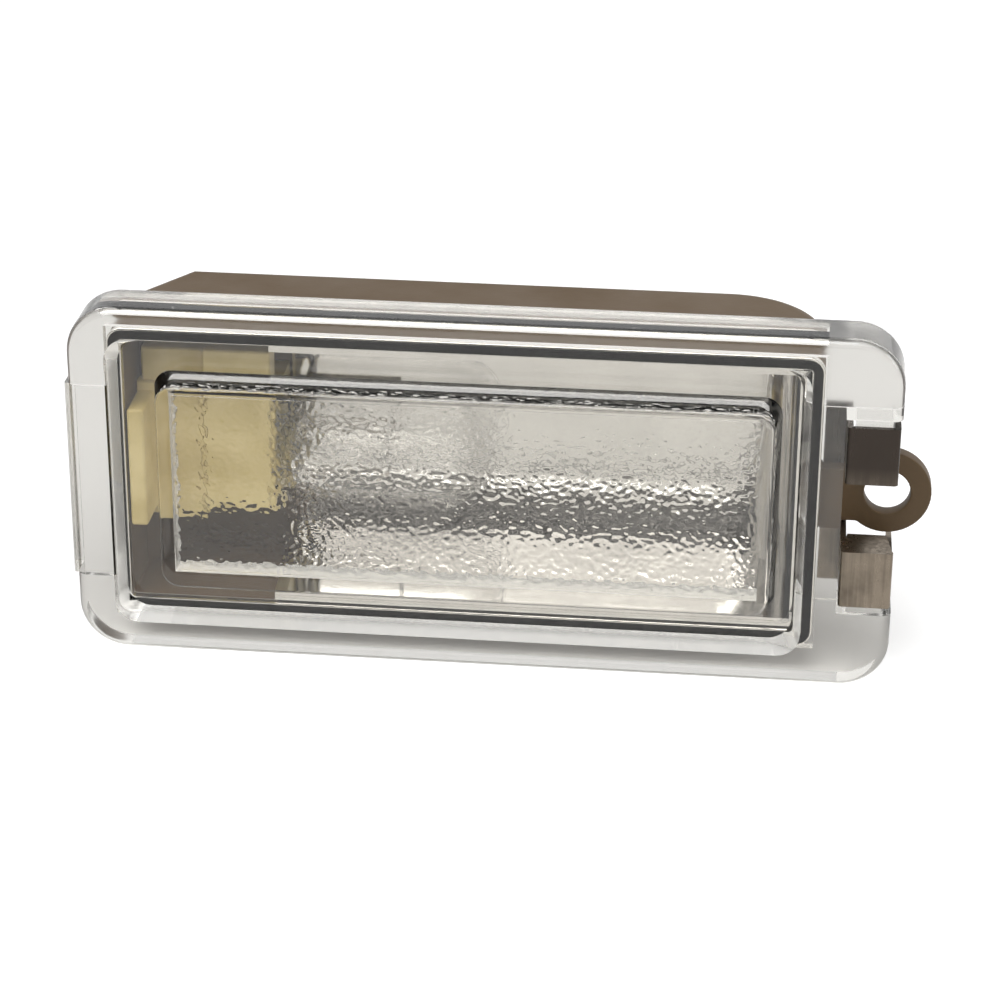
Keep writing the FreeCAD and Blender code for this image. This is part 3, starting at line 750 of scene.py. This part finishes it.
def cover(piece, material):
    """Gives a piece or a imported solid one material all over."""
    piece.data.materials.clear()
    piece.data.materials.append(material)


class LAMP_OT_model_lens(bpy.types.Operator):
    """Model the clear lens, with the pebbled relief on the back of its window"""

    bl_idname = "lamp.model_lens"
    bl_label = "Model lens"

    def execute(self, context):
        lens = solid_copy("lens", "lens_pebbled")
        sheet = pebbled_sheet()
        faces_before = len(lens.data.polygons)
        apply_modifier(lens, "BOOLEAN", operation="UNION", object=sheet, solver="MANIFOLD")
        if len(lens.data.polygons) < faces_before + len(sheet.data.polygons) / 2:
            raise RuntimeError("the pebbled relief did not join the lens")
        bpy.data.objects.remove(sheet)
        smooth_rounds(lens)
        material, surface, shader = clear_material(
            "clear lens plastic",
            finishes().lens_tint,
            LENS_INDEX,
            gloss=(0.015, 0.05),
            bump=(0.00002, 0.15),
        )
        frost_seat(material, surface, shader)
        cover(lens, material)
        stand_for(lens, "lens")
        return {"FINISHED"}


class LAMP_OT_blow_bulb(bpy.types.Operator):
    """Model the bulb's blown glass, with its pinched base"""

    bl_idname = "lamp.blow_bulb"
    bl_label = "Blow bulb"

    def execute(self, context):
        low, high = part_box("bulb_envelope")
        axis = Vector((high.x, (low.y + high.y) / 2, (low.z + high.z) / 2))
        bulb = blown_tube(axis, high.x - low.x - WEDGE_LENGTH, (high.z - low.z) / 2)
        bulb.name = "bulb_blown"
        wedge = pinched_wedge(low, axis)
        apply_modifier(bulb, "BOOLEAN", operation="UNION", object=wedge, solver="MANIFOLD")
        if min(vertex.co.x for vertex in bulb.data.vertices) > low.x + SHOULDER_LENGTH:
            raise RuntimeError("the pinched base did not join the bulb")
        bpy.data.objects.remove(wedge)
        select_only(bulb)
        bpy.ops.object.shade_smooth_by_angle(angle=SMOOTH_ANGLE)
        material = clear_material(
            "blown bulb glass",
            finishes().bulb_tint,
            GLASS_INDEX,
            gloss=(0.0, 0.02),
            bump=(0.00002, 0.05),
        )[0]
        cover(bulb, material)
        stand_for(bulb, "bulb_envelope")
        return {"FINISHED"}


class LAMP_OT_wind_filament(bpy.types.Operator):
    """Wind the bulb's filament as a coil of fine wire"""

    bl_idname = "lamp.wind_filament"
    bl_label = "Wind filament"

    def execute(self, context):
        low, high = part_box("bulb_filament")
        wire = sizes().filament_wire / 2
        turns = sizes().filament_turns
        axis_x = (low.x + high.x) / 2
        axis_y = (low.y + high.y) / 2
        coil_radius = (high.x - low.x) / 2 - wire
        length = high.z - low.z - 2 * wire
        bpy.ops.object.select_all(action="DESELECT")
        bpy.ops.mesh.primitive_circle_add(
            vertices=6,
            radius=wire,
            fill_type="NOTHING",
            location=(coil_radius, 0, -length / 2),
            rotation=(math.pi / 2, 0, 0),
        )
        coil = bpy.context.object
        coil.name = "filament_coil"
        bpy.ops.object.transform_apply(location=True, rotation=True, scale=True)
        apply_modifier(
            coil,
            "SCREW",
            axis="Z",
            angle=2 * math.pi,
            screw_offset=length / turns,
            iterations=turns,
            steps=10,
            render_steps=10,
            use_merge_vertices=False,
        )
        bpy.ops.object.mode_set(mode="EDIT")
        bpy.ops.mesh.select_all(action="SELECT")
        bpy.ops.mesh.fill_holes(sides=6)
        bpy.ops.mesh.select_all(action="SELECT")
        bpy.ops.mesh.normals_make_consistent(inside=False)
        bpy.ops.transform.translate(value=(axis_x, axis_y, (low.z + high.z) / 2))
        bpy.ops.object.mode_set(mode="OBJECT")
        bpy.ops.object.shade_smooth_by_angle(angle=SMOOTH_ANGLE)
        material = metal_material(
            "tungsten wire",
            finishes().filament_grey,
            tarnish=0.6,
            across=(9000, 9000, 9000),
            gloss=(0.3, 0.5),
            bump=(0.000005, 0.2),
        )
        cover(coil, material)
        stand_for(coil, "bulb_filament")
        return {"FINISHED"}


class LAMP_OT_model_housing(bpy.types.Operator):
    """Model the tray with its sharp edges eased, in satin brown plastic"""

    bl_idname = "lamp.model_housing"
    bl_label = "Model housing"

    def execute(self, context):
        tray = solid_copy("housing", "housing_eased")
        bpy.ops.object.mode_set(mode="EDIT")
        bpy.ops.mesh.select_all(action="SELECT")
        bpy.ops.mesh.dissolve_limited(angle_limit=FLAT_ANGLE)
        bpy.ops.object.mode_set(mode="OBJECT")
        apply_modifier(
            tray,
            "BEVEL",
            width=sizes().housing_ease,
            segments=2,
            limit_method="ANGLE",
            angle_limit=EASE_ANGLE,
            use_clamp_overlap=False,
            loop_slide=True,
        )
        smooth_rounds(tray)
        brown = finishes().housing_brown
        material, surface, shader = moulded_material(
            "satin brown plastic",
            brown,
            [channel * share for channel, share in zip(brown, BROWN_FLOW)],
            scales=(110.0, 3200.0),
            gloss=(0.40, 0.56),
            bump=(0.00003, 0.35),
        )
        shader.inputs["Specular IOR Level"].default_value = 0.25
        coat_rim(material, surface, shader)
        cover(tray, material)
        stand_for(tray, "housing")
        return {"FINISHED"}


class LAMP_OT_finish_reflector(bpy.types.Operator):
    """Give the trough its bright metallised coat"""

    bl_idname = "lamp.finish_reflector"
    bl_label = "Finish reflector"

    def execute(self, context):
        silver = finishes().reflector_silver
        material, _, shader = moulded_material(
            "metallised coat",
            silver,
            scaled(silver, 0.9),
            scales=(160.0, 1500.0),
            gloss=(0.03, 0.09),
            bump=(0.00002, 0.10),
        )
        shader.inputs["Metallic"].default_value = 1.0
        cover(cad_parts["reflector"], material)
        return {"FINISHED"}


class LAMP_OT_model_holder(bpy.types.Operator):
    """Model the bulb holder with its guard, crown and pad, in ivory plastic yellowed by heat"""

    bl_idname = "lamp.model_holder"
    bl_label = "Model holder"

    def execute(self, context):
        low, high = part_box("bulb_holder")
        holder = solid_copy("bulb_holder", "holder_guarded")
        for block in holder_blocks(low, high):
            apply_modifier(holder, "BOOLEAN", operation="UNION", object=block, solver="MANIFOLD")
            bpy.data.objects.remove(block)
        if min(vertex.co.y for vertex in holder.data.vertices) > GUARD_FRONT + MERGE_GAP:
            raise RuntimeError("the guard did not join the holder")
        if max(vertex.co.z for vertex in holder.data.vertices) < PAD_TOP - MERGE_GAP:
            raise RuntimeError("the pad did not join the holder")
        smooth_rounds(holder)
        material = moulded_material(
            "yellowed ivory plastic",
            finishes().holder_ivory,
            finishes().holder_amber,
            scales=(170.0, 2600.0),
            gloss=(0.32, 0.5),
            bump=(0.00003, 0.3),
        )[0]
        cover(holder, material)
        stand_for(holder, "bulb_holder")
        return {"FINISHED"}


class LAMP_OT_finish_contacts(bpy.types.Operator):
    """Give the two contacts their stamped brass"""

    bl_idname = "lamp.finish_contacts"
    bl_label = "Finish contacts"

    def execute(self, context):
        material = metal_material(
            "stamped brass",
            finishes().contact_brass,
            tarnish=0.6,
            across=(3000, 120, 3000),
            gloss=(0.22, 0.42),
            bump=(0.00001, 0.3),
        )
        for node in ("contact_upper", "contact_lower"):
            cover(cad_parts[node], material)
        return {"FINISHED"}


class LAMP_OT_finish_leads(bpy.types.Operator):
    """Give the bulb's lead wires their drawn metal"""

    bl_idname = "lamp.finish_leads"
    bl_label = "Finish lead wires"

    def execute(self, context):
        material = metal_material(
            "drawn lead wire",
            finishes().lead_grey,
            tarnish=0.6,
            across=(200, 6000, 6000),
            gloss=(0.25, 0.45),
            bump=(0.000005, 0.2),
        )
        cover(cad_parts["bulb_lead_wires"], material)
        return {"FINISHED"}


class LAMP_OT_finish_clip(bpy.types.Operator):
    """Give the spring clip its rolled and darkened steel, with painted shade darkening its upper
    finger
    """

    bl_idname = "lamp.finish_clip"
    bl_label = "Finish spring clip"

    def execute(self, context):
        material = metal_material(
            "darkened spring steel",
            finishes().clip_steel,
            tarnish=0.55,
            across=(2600, 2600, 90),
            gloss=(0.26, 0.44),
            bump=(0.00002, 0.4),
        )
        # Painted shade: the clip grows darker towards its upper finger
        blend_along(material, "Z", PAINTED_SHADE_START, PAINTED_SHADE_END, finishes().clip_painted_shade)
        cover(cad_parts["spring_clip"], material)
        return {"FINISHED"}


def seen_through(tree, path):
    """One for what mirrors and clear pieces show, nought for the rest."""
    mirrored = path.outputs["Is Glossy Ray"]
    return math_node(tree, "MAXIMUM", mirrored, path.outputs["Is Transmission Ray"])


def floor_material():
    """Pale floor that keeps the lamp's shadow and meets the white background."""
    material = bpy.data.materials.new("studio floor")
    material.use_nodes = True
    tree = material.node_tree
    shader = tree.nodes["Principled BSDF"]
    shader.inputs["Base Color"].default_value = opaque(finishes().floor_white)
    shader.inputs["Roughness"].default_value = 0.9
    shader.inputs["Specular IOR Level"].default_value = 0.1
    path = tree.nodes.new("ShaderNodeLightPath")
    in_view = math_node(tree, "MULTIPLY", path.outputs["Is Camera Ray"], FLOOR_GLOW)
    in_glass = math_node(tree, "MULTIPLY", seen_through(tree, path), FLOOR_GLOW_IN_GLASS)
    shader.inputs["Emission Color"].default_value = (1, 1, 1, 1)
    tree.links.new(math_node(tree, "ADD", in_view, in_glass), shader.inputs["Emission Strength"])
    return material


def dim_side(tree):
    """One towards the dim side of the room, low and ahead of the lens, and nought elsewhere."""
    way = tree.nodes.new("ShaderNodeTexCoord")
    nearness = tree.nodes.new("ShaderNodeVectorMath")
    nearness.operation = "DOT_PRODUCT"
    nearness.inputs[1].default_value = (math.sin(CAMERA_AZIMUTH), -math.cos(CAMERA_AZIMUTH), 0)
    tree.links.new(way.outputs["Generated"], nearness.inputs[0])
    facing = range_node(tree, *DIM_AHEAD, 0.0, 1.0)
    tree.links.new(nearness.outputs["Value"], facing.inputs["Value"])
    parts = tree.nodes.new("ShaderNodeSeparateXYZ")
    tree.links.new(way.outputs["Generated"], parts.inputs["Vector"])
    low = range_node(tree, *DIM_HEIGHT, 1.0, 0.0)
    tree.links.new(parts.outputs["Z"], low.inputs["Value"])
    aside = range_node(tree, *DIM_ASIDE, 1.0, 0.0)
    tree.links.new(parts.outputs["X"], aside.inputs["Value"])
    ahead = math_node(tree, "MULTIPLY", facing.outputs["Result"], aside.outputs["Result"])
    return math_node(tree, "MULTIPLY", ahead, low.outputs["Result"])


def background_node(tree, colour, strength):
    """A background shader with its colour and strength."""
    node = tree.nodes.new("ShaderNodeBackground")
    node.inputs["Color"].default_value = colour
    node.inputs["Strength"].default_value = strength
    return node


def shader_mix(tree, factor, first, second):
    """The mix of two shaders by a factor."""
    node = tree.nodes.new("ShaderNodeMixShader")
    for value, socket in zip((factor, first, second), node.inputs):
        tree.links.new(value, socket)
    return node.outputs["Shader"]


def studio_world():
    """Pale background, with the dim side of the room ahead of the lens and a plain soft fill."""
    world = bpy.data.worlds.new("studio")
    bpy.context.scene.world = world
    world.use_nodes = True
    tree = world.node_tree
    tree.nodes.clear()
    path = tree.nodes.new("ShaderNodeLightPath")
    factor, bright, dim, result = colour_mix(tree)
    bright.default_value = (1, 1, 1, 1)
    dim.default_value = DIM_COLOUR
    tree.links.new(dim_side(tree), factor)
    fill = background_node(tree, FILL_COLOUR, FILL_STRENGTH)
    surround = background_node(tree, (1, 1, 1, 1), 1.0)
    tree.links.new(result, surround.inputs["Color"])
    backdrop = background_node(tree, BACKDROP_COLOUR, 1.0)
    light = shader_mix(
        tree,
        seen_through(tree, path),
        fill.outputs["Background"],
        surround.outputs["Background"],
    )
    whole = shader_mix(tree, path.outputs["Is Camera Ray"], light, backdrop.outputs["Background"])
    end = tree.nodes.new("ShaderNodeOutputWorld")
    tree.links.new(whole, end.inputs["Surface"])


def add_softbox(name, place, side, power):
    """A square lamp that faces the lamp's middle."""
    light = bpy.data.lights.new(name, "AREA")
    light.shape = "SQUARE"
    light.size = side
    light.energy = power
    softbox = bpy.data.objects.new(name, light)
    softbox.location = place
    softbox.rotation_euler = Vector(place).to_track_quat("Z", "Y").to_euler()
    bpy.context.scene.collection.objects.link(softbox)


def add_overhead_light():
    """The broad soft light from above."""
    light = bpy.data.lights.new("overhead light", "SUN")
    light.energy = OVERHEAD_STRENGTH
    light.angle = OVERHEAD_SPREAD
    overhead = bpy.data.objects.new("overhead light", light)
    overhead.rotation_euler = OVERHEAD_TILT
    bpy.context.scene.collection.objects.link(overhead)


def add_camera():
    """The camera at the photograph's viewing angle."""
    back = Vector(
        (
            math.sin(CAMERA_AZIMUTH) * math.cos(CAMERA_ELEVATION),
            -math.cos(CAMERA_AZIMUTH) * math.cos(CAMERA_ELEVATION),
            math.sin(CAMERA_ELEVATION),
        )
    )
    level = (-back).cross(Vector((0, 0, 1))).normalized()
    upright = back.cross(level)
    right = math.cos(CAMERA_ROLL) * level + math.sin(CAMERA_ROLL) * upright
    up = math.cos(CAMERA_ROLL) * upright - math.sin(CAMERA_ROLL) * level
    data = bpy.data.cameras.new("camera")
    data.lens = CAMERA_LENS
    data.shift_x = 0.5 - ORIGIN_PIXEL[0] / PICTURE_SIDE
    data.shift_y = ORIGIN_PIXEL[1] / PICTURE_SIDE - 0.5
    data.clip_start = 0.01
    data.clip_end = 20
    camera = bpy.data.objects.new("camera", data)
    camera.rotation_euler = Matrix((right, up, back)).transposed().to_euler()
    camera.location = back * CAMERA_DISTANCE
    bpy.context.scene.collection.objects.link(camera)
    bpy.context.scene.camera = camera


class LAMP_OT_set_stage(bpy.types.Operator):
    """Set the floor, the soft light, the pale background and the camera"""

    bl_idname = "lamp.set_stage"
    bl_label = "Set stage"

    def execute(self, context):
        bpy.ops.object.select_all(action="DESELECT")
        bpy.ops.mesh.primitive_circle_add(
            vertices=64,
            radius=sizes().floor_reach,
            fill_type="NGON",
            location=(0, 0, CAD_BOX[0].z),
        )
        floor = bpy.context.object
        floor.name = "floor"
        cover(floor, floor_material())
        studio_world()
        add_overhead_light()
        for name, place, side, power in SOFTBOXES:
            add_softbox(name, place, side, power)
        add_camera()
        context.scene.view_settings.view_transform = "Standard"
        context.scene.cycles.max_bounces = LIGHT_BOUNCES
        context.scene.cycles.transmission_bounces = LIGHT_BOUNCES
        return {"FINISHED"}


class LAMP_PT_dressing(bpy.types.Panel):
    """Lists the steps that dress the lamp."""

    bl_idname = "LAMP_PT_dressing"
    bl_label = "Recessed lamp"
    bl_space_type = "VIEW_3D"
    bl_region_type = "UI"
    bl_category = "Lamp"

    def draw(self, context):
        column = self.layout.column(align=True)
        for step in STEPS:
            column.operator(step.bl_idname)
        for settings in (context.scene.lamp_sizes, context.scene.lamp_finishes):
            box = self.layout.box()
            for name in settings.bl_rna.properties.keys():
                if name not in ("rna_type", "name"):
                    box.prop(settings, name)


STEPS = (
    LAMP_OT_model_lens,
    LAMP_OT_blow_bulb,
    LAMP_OT_wind_filament,
    LAMP_OT_model_housing,
    LAMP_OT_finish_reflector,
    LAMP_OT_model_holder,
    LAMP_OT_finish_contacts,
    LAMP_OT_finish_leads,
    LAMP_OT_finish_clip,
    LAMP_OT_set_stage,
)
CLASSES = (LampSizes, LampFinishes) + STEPS + (LAMP_PT_dressing,)


def register():
    """Registers the classes and hangs the settings on the scene."""
    for cls in CLASSES:
        bpy.utils.register_class(cls)
    bpy.types.Scene.lamp_sizes = bpy.props.PointerProperty(type=LampSizes)
    bpy.types.Scene.lamp_finishes = bpy.props.PointerProperty(type=LampFinishes)


def unregister():
    """Takes the settings and the classes away again."""
    del bpy.types.Scene.lamp_finishes
    del bpy.types.Scene.lamp_sizes
    for cls in reversed(CLASSES):
        bpy.utils.unregister_class(cls)


def main():
    """Dresses the lamp step by step."""
    register()
    bpy.ops.lamp.model_lens()
    bpy.ops.lamp.blow_bulb()
    bpy.ops.lamp.wind_filament()
    bpy.ops.lamp.model_housing()
    bpy.ops.lamp.finish_reflector()
    bpy.ops.lamp.model_holder()
    bpy.ops.lamp.finish_contacts()
    bpy.ops.lamp.finish_leads()
    bpy.ops.lamp.finish_clip()
    bpy.ops.lamp.set_stage()


if __name__ == "__main__":
    main()
